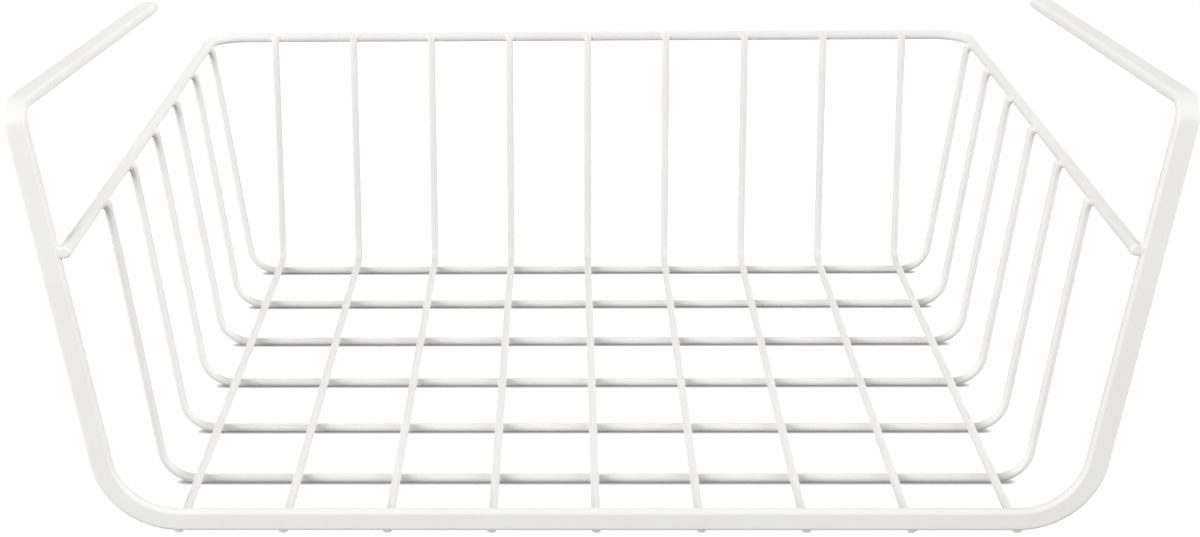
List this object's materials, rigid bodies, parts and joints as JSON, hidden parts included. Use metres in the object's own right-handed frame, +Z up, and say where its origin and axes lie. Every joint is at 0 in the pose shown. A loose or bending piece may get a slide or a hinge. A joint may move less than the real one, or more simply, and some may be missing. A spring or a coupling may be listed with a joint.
{
  "type": "under-shelf storage basket",
  "caption": "Open-front wire basket on a bent flat-bar frame whose two hook arms slide over a shelf board, so the basket hangs under the shelf.",
  "frame": {"origin": "middle of the footprint, on the surface that the basket's floor wires stand on", "axes": "+X to the right seen from the open front, +Y to the rear, +Z up"},
  "size_m": [0.3588, 0.278, 0.1508],
  "materials": {
    "white_coat": "satin white powder coat"
  },
  "bodies": {
    "root": {"front_frame": "white_coat", "rim_wire": "white_coat", "cross_wire_1": "white_coat", "cross_wire_2": "white_coat", "cross_wire_3": "white_coat", "cross_wire_4": "white_coat", "cross_wire_5": "white_coat", "cross_wire_6": "white_coat", "runner_wire_1": "white_coat", "runner_wire_2": "white_coat", "runner_wire_3": "white_coat", "runner_wire_4": "white_coat", "runner_wire_5": "white_coat", "runner_wire_6": "white_coat", "runner_wire_7": "white_coat", "runner_wire_8": "white_coat", "runner_wire_9": "white_coat"}
  },
  "joints": []
}
